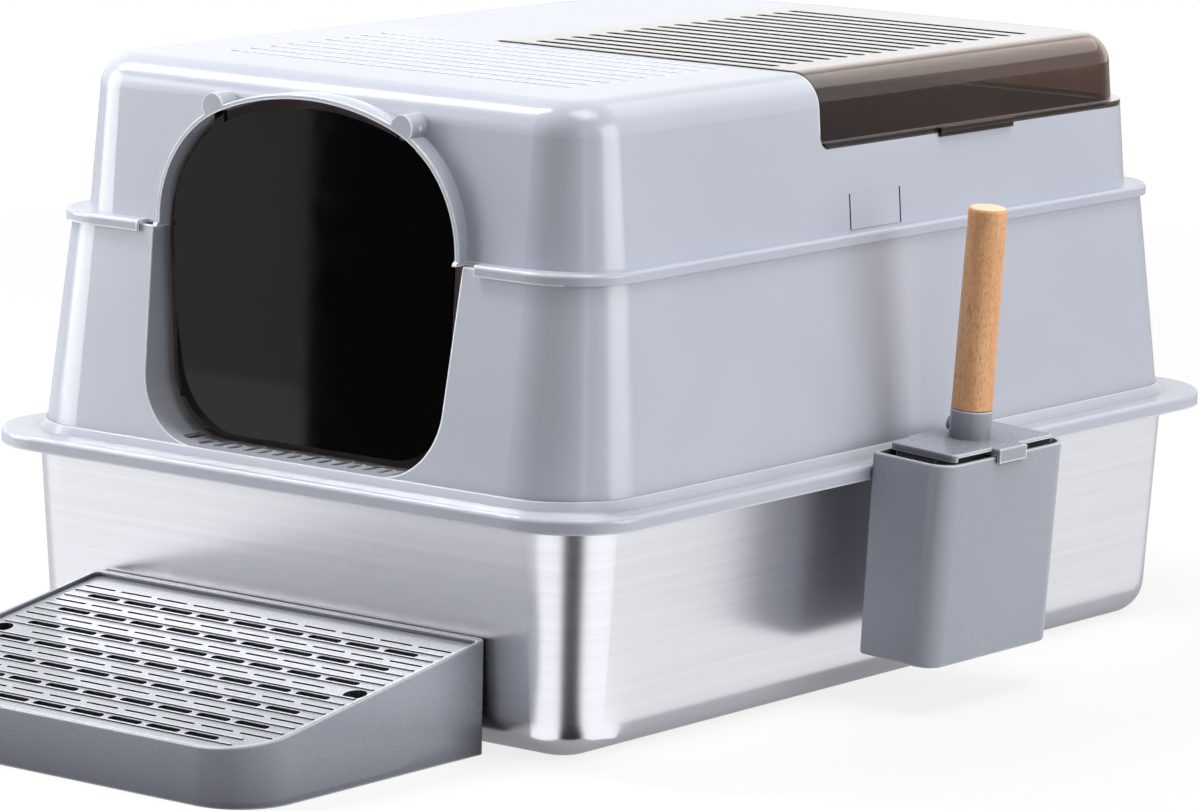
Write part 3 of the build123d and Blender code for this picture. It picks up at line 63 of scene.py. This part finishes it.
class Mat:
    """A node material with short ways to add and join nodes. Most of them take and return sockets."""

    def __init__(self, name):
        self.mat = bpy.data.materials.new(name)
        self.mat.use_nodes = True
        self.tree = self.mat.node_tree
        self.bsdf = self.tree.nodes["Principled BSDF"]
        self.out = self.tree.nodes["Material Output"]

    def node(self, kind, constants=None, **settings):
        """A new node with its settings and the constants on its inputs."""
        n = self.tree.nodes.new(kind)
        for key, value in settings.items():
            setattr(n, key, value)
        for key, value in (constants or {}).items():
            n.inputs[key].default_value = value
        return n

    def link(self, source, target, key):
        """Join a socket to an input of a node."""
        self.tree.links.new(source, target.inputs[key])

    def shader(self, **constants):
        """Set constants on the shader's own inputs, with _ for each space in a name."""
        for key, value in constants.items():
            self.bsdf.inputs[key.replace("_", " ")].default_value = value
        return self.mat

    def coords(self, scale=(1.0, 1.0, 1.0)):
        """A point in the object's own coordinates, scaled."""
        mapping = self.node("ShaderNodeMapping", {"Scale": scale})
        self.link(self.node("ShaderNodeTexCoord").outputs["Object"], mapping, "Vector")
        return mapping.outputs["Vector"]

    def noise(self, coords, scale=1.0, detail=3.0, roughness=0.55):
        n = self.node("ShaderNodeTexNoise", {"Scale": scale, "Detail": detail, "Roughness": roughness})
        self.link(coords, n, "Vector")
        return n.outputs["Fac"]

    def ramp(self, source, *stops):
        """Colours along a value, each stop a place and a colour."""
        r = self.node("ShaderNodeValToRGB")
        elements = r.color_ramp.elements
        while len(elements) < len(stops):
            elements.new(HALF)
        for element, (position, colour) in zip(elements, stops):
            element.position = position
            element.color = colour
        self.link(source, r, "Fac")
        return r.outputs["Color"]

    def drift(self, source, dark, light):
        """Two tones that change into each other along a noise."""
        return self.ramp(source, (NOISE_LOW, dark), (NOISE_HIGH, light))

    def span(self, source, low, high, start=NOISE_LOW, end=NOISE_HIGH):
        """A value that goes from low to high while the source goes from start to end."""
        limits = {"From Min": start, "From Max": end, "To Min": low, "To Max": high}
        n = self.node("ShaderNodeMapRange", limits)
        self.link(source, n, "Value")
        return n.outputs["Result"]

    def rough(self, source, low, high):
        """Roughness that varies along a noise."""
        self.link(self.span(source, low, high), self.bsdf, "Roughness")

    def bump(self, height, strength, distance, rounded=0.0):
        """Fine relief, over edges that look rounded by a radius."""
        b = self.node("ShaderNodeBump", {"Strength": strength, "Distance": distance})
        self.link(height, b, "Height")
        if rounded:
            edge = self.node("ShaderNodeBevel", {"Radius": rounded}, samples=BEVEL_SAMPLES)
            self.link(edge.outputs["Normal"], b, "Normal")
        self.link(b.outputs["Normal"], self.bsdf, "Normal")

    def test(self, source, operation, *values):
        """A sum or test on a value. A test gives 1 where it holds and 0 elsewhere."""
        t = self.node("ShaderNodeMath", dict(enumerate(values, 1)), operation=operation)
        self.link(source, t, 0)
        return t.outputs[0]

    def size(self, source):
        """A value without its sign."""
        return self.test(source, "ABSOLUTE")

    def without(self, share):
        """1 where a share of 0 or 1 is 0."""
        return self.test(share, "LESS_THAN", HALF)

    def both(self, *shares):
        """The product of shares, which is 1 where every one of them is 1."""
        joined = shares[0]
        for share in shares[1:]:
            t = self.node("ShaderNodeMath", operation="MULTIPLY")
            self.link(joined, t, 0)
            self.link(share, t, 1)
            joined = t.outputs[0]
        return joined

    def split(self, vector):
        """The X, Y and Z of a vector."""
        parts = self.node("ShaderNodeSeparateXYZ")
        self.link(vector, parts, "Vector")
        return parts.outputs

    def normal(self):
        """The X, Y and Z of the direction that a face looks in."""
        return self.split(self.node("ShaderNodeNewGeometry").outputs["Normal"])

    def facing(self, axis):
        """1 on faces that look along an axis."""
        return self.test(self.normal()[axis], "GREATER_THAN", MOSTLY)

    def across(self, axis):
        """1 on faces that look either way along an axis."""
        return self.test(self.size(self.normal()[axis]), "GREATER_THAN", MOSTLY)

    def shade(self, reach, only_local=True, inside=False):
        """Shade from what lies within reach, in front of a face or inside the solid."""
        settings = {"samples": SHADE_SAMPLES, "only_local": only_local, "inside": inside}
        return self.node("ShaderNodeAmbientOcclusion", {"Distance": reach}, **settings)

    def edges(self, reach):
        """A share of painted highlight that rises along outer edges, within reach of them."""
        return self.span(self.shade(reach, inside=True).outputs["AO"], EDGE_SHARE, 0.0, EDGE_FULL, EDGE_NONE)

    def blend(self, share, first, second):
        """Mix the first colour towards the second, a constant one, by a share."""
        mix = self.node("ShaderNodeMix", data_type="RGBA")
        self.link(share, mix, MIX_FACTOR)
        self.link(first, mix, MIX_FIRST)
        mix.inputs[MIX_SECOND].default_value = second
        return mix.outputs[MIX_RESULT]

    def colour(self, tone, crease=0.0, own=True):
        """Join a tone to the base colour, with painted shade in slots and creases as far as crease reaches.
        """
        if crease:
            shade = self.shade(crease, own)
            self.link(tone, shade, "Color")
            tone = shade.outputs["Color"]
        self.link(tone, self.bsdf, "Base Color")


# Moulded plastic

# Each plastic has a lighter and a darker tone, and each finish a least and a greatest roughness.
PALE = (srgb(187, 191, 203), srgb(181, 185, 197))
GREY = (srgb(160, 165, 176), srgb(154, 159, 170))
STEP_GREY = (srgb(152, 157, 168), srgb(146, 151, 162))
GRATE_GREY = (srgb(180, 184, 192), srgb(173, 177, 185))
GLOSS = (0.17, 0.23)
SATIN = (0.22, 0.3)
# How far the painted edge highlights reach.
EDGE_REACH = 0.0012
GRATE_EDGE_REACH = 0.0006
# The tray under the grate lies below this height; faces that look up below it get a painted shade, as the
# tray floor lies in the grate's shadow.
TRAY_TOP = 0.012
TRAY_SHADE_TONE = srgb(84, 87, 94)
# The painted shade on the walls of the slits beside the latches, and of the slots in the grate.
LATCH_LOW, LATCH_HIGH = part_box("cover_latch_right")
LATCH_MARGIN = 0.003
SLIT_SHADE_TONE = srgb(22, 23, 26)
SLOT_SHADE_TONE = srgb(52, 54, 60)


def beside_latch(m, spot):
    """1 on the part of the side walls at the height of the latches, where the painted edge highlight stays
    off.
    """
    height = LATCH_HIGH[2] - LATCH_LOW[2]
    outward = m.test(m.size(spot["X"]), "GREATER_THAN", LATCH_LOW[0] - LATCH_MARGIN)
    level = m.test(spot["Z"], "COMPARE", LATCH_HIGH[2], height)
    return m.both(outward, level)


def slit_walls(m, spot):
    """1 on the walls of the slits that cut the latches free, which get a painted shade."""
    middle = HALF * (LATCH_LOW[1] + LATCH_HIGH[1])
    reach = HALF * (LATCH_HIGH[1] - LATCH_LOW[1]) + LATCH_MARGIN
    return m.both(m.test(spot["Y"], "COMPARE", middle, reach), m.across("Y"))


def plastic(
    name, tones, gloss, rounded=0.0, crease=0.0, own=True, edge=0.0, tray=0.0, slits=False, slots=False
):
    """Moulded plastic with a fine spark-eroded grain, a faint drift of tone and painted highlights along its
    edges.

    Edges look rounded by a radius. Creases get painted shade as far as crease reaches, from the piece's own
    shape or from all that is near. Below the height of a tray, faces that look up get a painted shade. With
    slits the walls beside the latches get a painted shade, and with slots every face that doesn't look up.
    """
    m = Mat(name)
    c = m.coords()
    spot = m.split(c)
    light, dark = tones
    tone = m.drift(m.noise(c, scale=7.0, detail=2.0), dark, light)
    # Painted shade on the tray floor under the grate.
    if tray:
        low = m.test(spot["Z"], "LESS_THAN", tray)
        tone = m.blend(m.both(low, m.facing("Z")), tone, TRAY_SHADE_TONE)
    # Painted highlights along the outer edges, kept off beside the latches.
    if edge:
        share = m.edges(edge)
        if slits:
            share = m.both(share, m.without(beside_latch(m, spot)))
        tone = m.blend(share, tone, EDGE_HIGHLIGHT_TONE)
    # Painted shade on every face of the grate that doesn't look up, such as the slot walls.
    if slots:
        tone = m.blend(m.without(m.facing("Z")), tone, SLOT_SHADE_TONE)
    # Painted shade on the walls of the slits beside the latches.
    if slits:
        tone = m.blend(slit_walls(m, spot), tone, SLIT_SHADE_TONE)
    # Painted shade in creases, as far as crease reaches.
    m.colour(tone, crease, own)
    grain = m.noise(c, scale=1500.0, detail=2.0)
    m.rough(grain, *gloss)
    m.bump(grain, strength=0.05, distance=0.0004, rounded=rounded)
    return m.mat


cover_look = plastic("pale_plastic_look", PALE, GLOSS, edge=EDGE_REACH, slits=True)
latch_look = plastic("latch_plastic_look", PALE, GLOSS, slits=True)
guard_look = plastic("guard_plastic_look", PALE, GLOSS, rounded=0.0013, crease=0.012, edge=EDGE_REACH)
scoop_look = plastic(
    "grey_plastic_look", GREY, SATIN, rounded=0.0007, crease=0.03, own=False, edge=EDGE_REACH
)
step_look = plastic(
    "step_plastic_look", STEP_GREY, SATIN,
    rounded=0.0007, crease=0.05, own=False, edge=EDGE_REACH, tray=TRAY_TOP,
)
grate_look = plastic(
    "grate_plastic_look", GRATE_GREY, SATIN,
    rounded=0.0005, crease=0.004, edge=GRATE_EDGE_REACH, slots=True,
)


# Steel

# The brush noise is stretched along the level, where its scale is small, into fine lines and broader bands.
BRUSH_LINES = (14.0, 14.0, 2600.0)
BRUSH_BANDS = (2.0, 2.0, 300.0)
# The noise on the pins is the same in all directions.
PIN_MOTTLE = (900.0, 900.0, 900.0)


def brushed_steel():
    """Drawn stainless sheet with fine level brush lines."""
    m = Mat("brushed_steel_look")
    lines = m.noise(m.coords(BRUSH_LINES), detail=5.0, roughness=0.7)
    bands = m.noise(m.coords(BRUSH_BANDS), roughness=0.6)
    m.colour(m.drift(bands, dark=srgb(222, 222, 229), light=srgb(228, 228, 235)))
    m.rough(lines, low=0.22, high=0.27)
    m.bump(lines, strength=0.006, distance=0.0002)
    return m.shader(Metallic=1.0, Anisotropic=0.45)


def pin_steel():
    """Drawn pin stock with a fine, even mottle."""
    m = Mat("pin_steel_look")
    mottle = m.noise(m.coords(PIN_MOTTLE), detail=2.0)
    m.colour(m.drift(mottle, dark=srgb(172, 172, 176), light=srgb(200, 200, 204)))
    m.rough(mottle, low=0.22, high=0.36)
    m.bump(mottle, strength=0.1, distance=0.0002)
    return m.shader(Metallic=1.0)


pan_look = brushed_steel()
pin_look = pin_steel()


# Clear plastic

PLASTIC_IOR = 1.46
BROWN = (srgb(170, 143, 128), srgb(162, 135, 120))
BROWN_HAZE = (0.02, 0.05)
SMOKE = (srgb(15, 14, 14), srgb(11, 10, 10))
SMOKE_HAZE = (0.03, 0.06)
SMOKE_SPECULAR = 0.17
# The lid's grooves, painted dark as shade: a band of heights that holds their floors and walls, clear of the
# round edges.
GROOVE_DEPTH = 0.0013
GROOVE_MIDDLE = 0.6 * GROOVE_DEPTH
GROOVE_REACH = 0.55 * GROOVE_DEPTH
GROOVE_MARGIN = 0.045
GROOVE_SHADE_TONE = srgb(34, 27, 23)
GROOVE_SPECULAR = 0.05
LID_SPECULAR = 0.5
# The lid's front edge, with its painted shadow, and the flange along its foot, darker for its thicker
# plastic and with painted shade from the dark inside.
FRONT_WIDTH = 0.003
FRONT_SHADOW_TONE = srgb(44, 36, 32)
RIM_HEIGHT = 0.0064
RIM_THICK_AND_SHADE_TONE = srgb(96, 79, 69)
# The lid's top has a gloss coat that fades out where the surface turns down past this share of up.
COAT_START = 0.93
COAT_ROUGHNESS = 0.04


def lid_marks(m, tone, spot, lid):
    """Painted shade in the lid's grooves, a painted shadow along its front edge, a foot darkened for thicker
    plastic and as painted shade, and a gloss coat on its top between them.
    """
    corners = [v.co for v in lid.data.vertices]
    right, rear, top = (max(v[axis] for v in corners) for axis in range(3))
    front, foot = (min(v[axis] for v in corners) for axis in (1, 2))
    grooves = m.both(
        m.test(spot["Z"], "COMPARE", top - GROOVE_MIDDLE, GROOVE_REACH),
        m.test(spot["X"], "LESS_THAN", right - GROOVE_MARGIN),
        m.test(spot["Y"], "LESS_THAN", rear - GROOVE_MARGIN),
    )
    front_edge = m.test(spot["Y"], "LESS_THAN", front + FRONT_WIDTH)
    rim = m.test(spot["Z"], "LESS_THAN", foot + RIM_HEIGHT)
    # Painted shade in the grooves.
    tone = m.blend(grooves, tone, GROOVE_SHADE_TONE)
    # A painted shadow along the front edge.
    tone = m.blend(front_edge, tone, FRONT_SHADOW_TONE)
    # The foot painted darker, partly for its thicker plastic and partly as painted shade from the dark
    # inside.
    tone = m.blend(rim, tone, RIM_THICK_AND_SHADE_TONE)
    m.link(m.span(grooves, LID_SPECULAR, GROOVE_SPECULAR, start=0, end=1), m.bsdf, "Specular IOR Level")
    upward = m.span(m.normal()["Z"], 0.0, 1.0, start=COAT_START, end=1.0)
    m.link(m.both(upward, m.without(grooves), m.without(front_edge)), m.bsdf, "Coat Weight")
    m.shader(Coat_Roughness=COAT_ROUGHNESS)
    return tone


def clear_plastic(name, tones, haze, passing, rounded=0.0, lid=None):
    """Tinted clear plastic with a faint moulding haze, and the share of light that passes it."""
    m = Mat(name)
    c = m.coords()
    light, dark = tones
    tone = m.drift(m.noise(c, scale=9.0, detail=2.0), dark, light)
    if lid:
        tone = lid_marks(m, tone, m.split(c), lid)
    m.colour(tone)
    mist = m.noise(c, scale=60.0)
    m.rough(mist, *haze)
    m.bump(mist, strength=0.02, distance=0.0004, rounded=rounded)
    m.shader(Transmission_Weight=passing, IOR=PLASTIC_IOR)
    return m


lid_look = clear_plastic(
    "brown_clear_look", BROWN, BROWN_HAZE, passing=1.0, rounded=0.0009, lid=nodes["flip_lid"]
).mat
flap_look = clear_plastic("smoked_clear_look", SMOKE, SMOKE_HAZE, passing=0.5).shader(
    Specular_IOR_Level=SMOKE_SPECULAR
)


# Wood

GRAIN_TONES = ((0.25, srgb(206, 144, 95)), (0.55, srgb(229, 172, 120)), (0.8, srgb(240, 190, 140)))
GRAIN_SCALE = (60.0, 60.0, 9.0)
FLECK_SCALE = (1250.0, 1250.0, 300.0)
FLECK_TONE = srgb(158, 98, 57)
FLECK_SHARE = 0.62
PAINTED_LIT_END_TONE = srgb(240, 216, 186)


def beech():
    """Steamed beech turned along the handle, with the dense short flecks of its rays, painted shade in
    creases and its upward end painted paler as lit from above.
    """
    m = Mat("beech_look")
    grain = m.noise(m.coords(GRAIN_SCALE), scale=1.6, detail=4.0, roughness=0.6)
    rays = m.noise(m.coords(FLECK_SCALE), roughness=0.6)
    flecks = m.span(rays, 0.0, FLECK_SHARE, start=0.5, end=0.68)
    tone = m.blend(flecks, m.ramp(grain, *GRAIN_TONES), FLECK_TONE)
    # The upward end painted paler, as lit from above.
    tone = m.blend(m.facing("Z"), tone, PAINTED_LIT_END_TONE)
    # Painted shade in creases near the socket.
    m.colour(tone, crease=0.0016, own=False)
    m.rough(grain, low=0.38, high=0.54)
    m.bump(rays, strength=0.2, distance=0.0003, rounded=0.0008)
    return m.mat


looks = {
    "steel_pan": pan_look,
    "splash_guard": guard_look,
    "top_cover": cover_look,
    "cover_latch_right": latch_look,
    "cover_latch_left": latch_look,
    "flip_lid": lid_look,
    "lid_hinge_pin_front": pin_look,
    "lid_hinge_pin_rear": pin_look,
    "entry_flap": flap_look,
    "flap_hinge_pin_left": pin_look,
    "flap_hinge_pin_right": pin_look,
    "scoop_holder": scoop_look,
    "scoop_head": scoop_look,
    "scoop_handle": beech(),
    "handle_screw": pin_look,
    "step_base": step_look,
    "step_grate": grate_look,
}
for name, look in looks.items():
    obj = nodes[name]
    if not obj.material_slots:
        obj.data.materials.append(look)
    for slot in obj.material_slots:
        slot.material = look


# Floor and world

FLOOR_HALF = 14.0
FLOOR_TONE = srgb(160, 160, 163)
PAPER_TONE = srgb(238, 238, 239)
# The floor seen by the camera is mostly even white, and wholly so from the far distance on.
PAPER_NEAR, PAPER_FAR = 0.7, 2.2
WHITE_NEAR, WHITE_FAR = 0.8, 1.0
# The share of even white that reflections see in the floor.
MIRRORED_WHITE = 0.25
WORLD_LIGHT = 0.14
WORLD_SEEN = 1.0


def mix_shaders(m, share, first, second):
    """One shader that goes from the first to the second by a share."""
    mix = m.node("ShaderNodeMixShader")
    m.link(share, mix, "Fac")
    m.link(first, mix, 1)
    m.link(second, mix, 2)
    return mix.outputs[0]


def floor_material():
    """A white floor that keeps the object's shadow and throws little light back."""
    m = Mat("floor_look")
    m.shader(Base_Color=FLOOR_TONE, Roughness=0.9)
    path = m.node("ShaderNodeLightPath").outputs
    glow = m.node("ShaderNodeEmission", {"Color": WHITE, "Strength": 1.0}).outputs[0]
    paper = m.node("ShaderNodeBsdfDiffuse", {"Color": PAPER_TONE}).outputs[0]
    away = m.node("ShaderNodeVectorMath", operation="LENGTH")
    m.link(m.node("ShaderNodeTexCoord").outputs["Object"], away, 0)
    fade = m.span(away.outputs["Value"], WHITE_NEAR, WHITE_FAR, PAPER_NEAR, PAPER_FAR)
    seen = mix_shaders(m, fade, paper, glow)
    mirrored = m.test(path["Is Glossy Ray"], "MULTIPLY", MIRRORED_WHITE)
    thrown = mix_shaders(m, mirrored, m.bsdf.outputs[0], glow)
    m.link(mix_shaders(m, path["Is Camera Ray"], thrown, seen), m.out, "Surface")
    return m.mat


def lay_floor():
    """A wide level sheet under the object."""
    mesh = bpy.data.meshes.new("floor")
    corners = ((-1, -1), (1, -1), (1, 1), (-1, 1))
    mesh.from_pydata([(FLOOR_HALF * x, FLOOR_HALF * y, 0) for x, y in corners], [], [(0, 1, 2, 3)])
    mesh.materials.append(floor_material())
    floor = bpy.data.objects.new("floor", mesh)
    scene.collection.objects.link(floor)


def light_world():
    """A white world that the camera, reflections and clear pieces see, and that lights the rest faintly."""
    world = bpy.data.worlds.new("studio")
    scene.world = world
    world.use_nodes = True
    tree = world.node_tree
    background = tree.nodes["Background"]
    background.inputs["Color"].default_value = WHITE
    path = tree.nodes.new("ShaderNodeLightPath").outputs
    seen = path["Is Camera Ray"]
    for kind in ("Is Glossy Ray", "Is Transmission Ray"):
        either = tree.nodes.new("ShaderNodeMath")
        either.operation = "ADD"
        either.use_clamp = True
        tree.links.new(seen, either.inputs[0])
        tree.links.new(path[kind], either.inputs[1])
        seen = either.outputs[0]
    level = tree.nodes.new("ShaderNodeMapRange")
    level.inputs["To Min"].default_value = WORLD_LIGHT
    level.inputs["To Max"].default_value = WORLD_SEEN
    tree.links.new(seen, level.inputs["Value"])
    tree.links.new(level.outputs["Result"], background.inputs["Strength"])


lay_floor()
light_world()


# Lamps

LAMP_AIM = Vector((0.0, -0.05, 0.2))


def soft_box(name, place, width, height, watts):
    """A soft box at a place, turned to the object."""
    data = bpy.data.lights.new(name, "AREA")
    data.shape = "RECTANGLE"
    data.size = width
    data.size_y = height
    data.energy = watts
    lamp = bpy.data.objects.new(name, data)
    lamp.location = place
    lamp.rotation_euler = (LAMP_AIM - Vector(place)).to_track_quat("-Z", "Y").to_euler()
    lamp.visible_camera = False
    scene.collection.objects.link(lamp)


soft_box("top_left_box", (-1.4, -0.6, 2.1), width=0.4, height=1.3, watts=42.0)
soft_box("top_box", (0.8, -0.1, 2.4), width=1.2, height=1.2, watts=28.0)
soft_box("top_back_box", (0.35, 2.0, 1.75), width=1.6, height=1.0, watts=6.0)
soft_box("left_box", (-2.85, -1.75, 1.0), width=2.0, height=2.0, watts=86.0)
soft_box("right_box", (3.0, 1.1, 1.0), width=2.0, height=2.0, watts=65.0)
soft_box("strip_box", (2.75, -1.55, 1.0), width=0.3, height=1.8, watts=4.5)


# Cards that only reflections see

# How brightly each kind of card glows, where 1 is as bright as the world.
DARK_CARD = 0.02
CORNER_WHITE = 1.2
RIGHT_WHITE = 0.93
LEFT_WHITE = 1.1
BACK_WHITE = 1.1
# Heights of the cards that lie on the floor, apart so that none shares a plane with another kind.
WHITE_CARD_Z = 0.003
WEDGE_Z = 0.004
DARK_CARD_Z = 0.005
# About the middle of the pan's round front right corner, and how far the cards round it reach from there.
CORNER_X, CORNER_Y = 0.187, -0.288
WEDGE_NEAR, WEDGE_FAR = 0.035, 1.2
# The upright card behind the object, which the roof and the lid's top reflect.
BACK_LOW, BACK_HIGH = 0.45, 1.5
BACK_LEFT, BACK_RIGHT = (-2.7, 1.7), (-1.0, 3.0)
# The other cards on the floor: beside the right wall, before the front on the left, and a long strip
# out to the front left, which the flap reflects.
RIGHT_OUTLINE = ((0.235, -0.24), (1.6, -0.24), (1.6, 1.4), (0.235, 1.4))
LEFT_OUTLINE = ((-1.3, -1.2), (-0.33, -1.2), (-0.2, -0.345), (-1.3, -0.345))
FLAP_OUTLINE = ((-0.36, -0.72), (-4.557, -5.616), (-3.87, -6.2), (0.02, -1.05))


def reflector(name, points, level):
    """A flat card that glows evenly in reflections and lights nothing."""
    mesh = bpy.data.meshes.new(name)
    mesh.from_pydata(points, [], [tuple(range(len(points)))])
    m = Mat(name + "_look")
    glow = m.node("ShaderNodeEmission", {"Color": WHITE, "Strength": level})
    m.link(glow.outputs[0], m.out, "Surface")
    mesh.materials.append(m.mat)
    card = bpy.data.objects.new(name, mesh)
    card.visible_camera = False
    card.visible_diffuse = False
    card.visible_transmission = False
    card.visible_shadow = False
    scene.collection.objects.link(card)


def floor_card(name, outline, z, level):
    """A card that lies level just above the floor."""
    reflector(name, [(x, y, z) for x, y in outline], level)


def wedge(name, start, end, level):
    """A card on the floor round the pan's front right corner, from one bearing to another in degrees."""
    outline = []
    for reach, bearings in ((WEDGE_NEAR, (start, end)), (WEDGE_FAR, (end, start))):
        for bearing in bearings:
            turn = math.radians(bearing)
            outline.append((CORNER_X + reach * math.sin(turn), CORNER_Y - reach * math.cos(turn)))
    floor_card(name, outline, WEDGE_Z, level)


wedge("corner_white_left", -14, 32, CORNER_WHITE)
wedge("corner_dark", 36, 68, DARK_CARD)
wedge("corner_white_right", 74, 132, CORNER_WHITE)
floor_card("right_white", RIGHT_OUTLINE, WHITE_CARD_Z, RIGHT_WHITE)
floor_card("left_white", LEFT_OUTLINE, WHITE_CARD_Z, LEFT_WHITE)
back_points = [
    (*BACK_LEFT, BACK_LOW), (*BACK_RIGHT, BACK_LOW), (*BACK_RIGHT, BACK_HIGH), (*BACK_LEFT, BACK_HIGH)
]
reflector("back_white", back_points, BACK_WHITE)
floor_card("flap_dark", FLAP_OUTLINE, DARK_CARD_Z, DARK_CARD)


# Camera, as fitted to the photograph's straight edges

AZIMUTH = math.radians(37.78)
ELEVATION = math.radians(8.71)
ROLL = math.radians(1.11)
TARGET = Vector((0.0, 0.0, 0.21875))
DISTANCE = 3.9899
SENSOR_MM = 36.0
LENS_MM = 184.4
SHIFT_X = -0.0154
SHIFT_Y = -0.0836
CLIP_END = 100.0


def place_camera():
    """A long lens that looks at the target from the front right, turned a little about its own axis."""
    level = math.cos(ELEVATION)
    back = Vector((math.sin(AZIMUTH) * level, -math.cos(AZIMUTH) * level, math.sin(ELEVATION)))
    right = Vector((math.cos(AZIMUTH), math.sin(AZIMUTH), 0.0))
    up = back.cross(right)
    turned_right = right * math.cos(ROLL) + up * math.sin(ROLL)
    turned_up = up * math.cos(ROLL) - right * math.sin(ROLL)
    data = bpy.data.cameras.new("camera")
    data.sensor_fit = "HORIZONTAL"
    data.sensor_width = SENSOR_MM
    data.lens = LENS_MM
    data.shift_x = SHIFT_X
    data.shift_y = SHIFT_Y
    data.clip_end = CLIP_END
    camera = bpy.data.objects.new("camera", data)
    axes = Matrix((turned_right, turned_up, back)).transposed().to_4x4()
    camera.matrix_world = Matrix.Translation(TARGET + back * DISTANCE) @ axes
    scene.collection.objects.link(camera)
    scene.camera = camera


place_camera()
